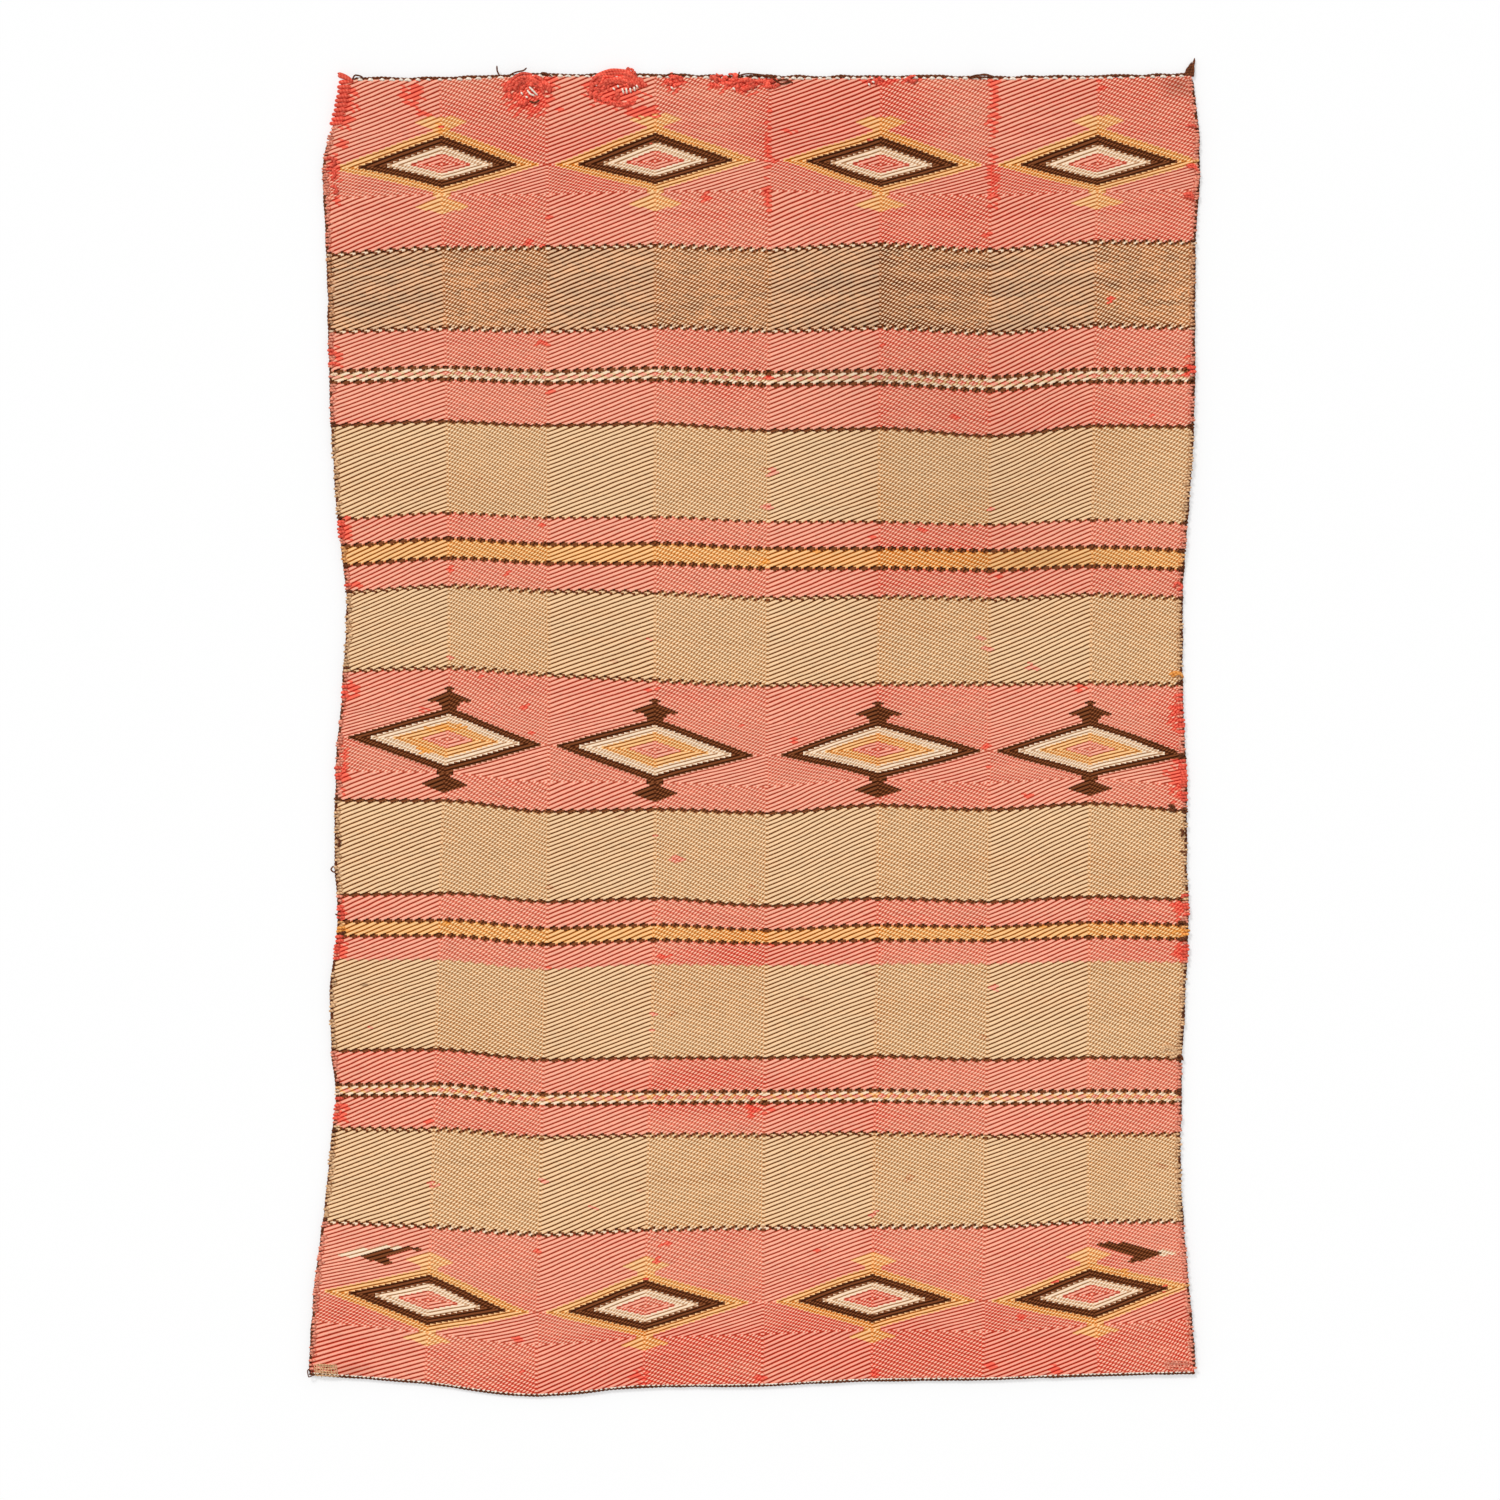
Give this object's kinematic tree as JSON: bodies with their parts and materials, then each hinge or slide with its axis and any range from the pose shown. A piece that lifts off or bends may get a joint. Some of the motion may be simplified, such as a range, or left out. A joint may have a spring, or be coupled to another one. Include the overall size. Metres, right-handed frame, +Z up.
{
  "type": "saddle blanket",
  "caption": "Flat handwoven wool double saddle blanket: striped twill cloth with inlaid nested diamonds, a hidden warp, corded edges and one corner tassel.",
  "frame": {"origin": "under the middle of the whole blanket, on the ground that it lies on", "axes": "+X across the warps to the picture's right, +Y along the warps to the picture's top edge, +Z up out of the top face"},
  "size_m": [0.87, 1.302, 0.005],
  "materials": {
    "weft_coral": "faded coral red wool weft, matte",
    "weft_tan": "tan wool weft, matte",
    "weft_heather_brown": "heathered light brown wool weft, matte",
    "weft_gold": "golden orange wool weft, matte",
    "weft_cream": "cream wool weft, matte",
    "weft_dark_brown": "dark brown wool weft, matte",
    "warp_cream_white": "natural white wool warp, matte",
    "cord_dark_brown": "dark brown twined wool cord, matte"
  },
  "bodies": {
    "root": {"band_01_top_coral": "weft_coral", "band_02_heather_brown": "weft_heather_brown", "band_03_coral": "weft_coral", "band_04_narrow_cream": "weft_cream", "band_05_coral": "weft_coral", "band_06_tan": "weft_tan", "band_07_coral": "weft_coral", "band_08_gold": "weft_gold", "band_09_coral": "weft_coral", "band_10_tan": "weft_tan", "band_11_centre_coral": "weft_coral", "band_12_tan": "weft_tan", "band_13_coral": "weft_coral", "band_14_gold": "weft_gold", "band_15_coral": "weft_coral", "band_16_tan": "weft_tan", "band_17_coral": "weft_coral", "band_18_narrow_cream": "weft_cream", "band_19_coral": "weft_coral", "band_20_tan": "weft_tan", "band_21_bottom_coral": "weft_coral", "stripe_01_plied_dark": "weft_dark_brown", "stripe_02_plied_dark": "weft_dark_brown", "stripe_03_dotted_dark": "weft_dark_brown", "stripe_04_dotted_dark": "weft_dark_brown", "stripe_05_plied_dark": "weft_dark_brown", "stripe_06_fine_dark": "weft_dark_brown", "stripe_07_dotted_dark": "weft_dark_brown", "stripe_08_dotted_dark": "weft_dark_brown", "stripe_09_fine_dark": "weft_dark_brown", "stripe_10_plied_dark": "weft_dark_brown", "stripe_11_plied_dark": "weft_dark_brown", "stripe_12_plied_dark": "weft_dark_brown", "stripe_13_dotted_dark": "weft_dark_brown", "stripe_14_dotted_dark": "weft_dark_brown", "stripe_15_plied_dark": "weft_dark_brown", "stripe_16_dotted_dark": "weft_dark_brown", "stripe_17_dotted_dark": "weft_dark_brown", "stripe_18_plied_dark": "weft_dark_brown", "stripe_19_plied_dark": "weft_dark_brown", "top_diamond_1": "weft_gold", "top_diamond_2": "weft_gold", "top_diamond_3": "weft_gold", "top_diamond_4": "weft_gold", "centre_diamond_1": "weft_dark_brown", "centre_diamond_2": "weft_dark_brown", "centre_diamond_3": "weft_dark_brown", "centre_diamond_4": "weft_dark_brown", "bottom_diamond_1": "weft_gold", "bottom_diamond_2": "weft_gold", "bottom_diamond_3": "weft_gold", "bottom_diamond_4": "weft_gold", "unfinished_point_left": "weft_dark_brown", "unfinished_point_right": "weft_dark_brown", "warp_yarn": "warp_cream_white", "end_cord_top": "cord_dark_brown", "end_cord_bottom": "cord_dark_brown", "side_cord_left": "cord_dark_brown", "side_cord_right": "cord_dark_brown", "corner_tassel": "cord_dark_brown"}
  },
  "joints": []
}
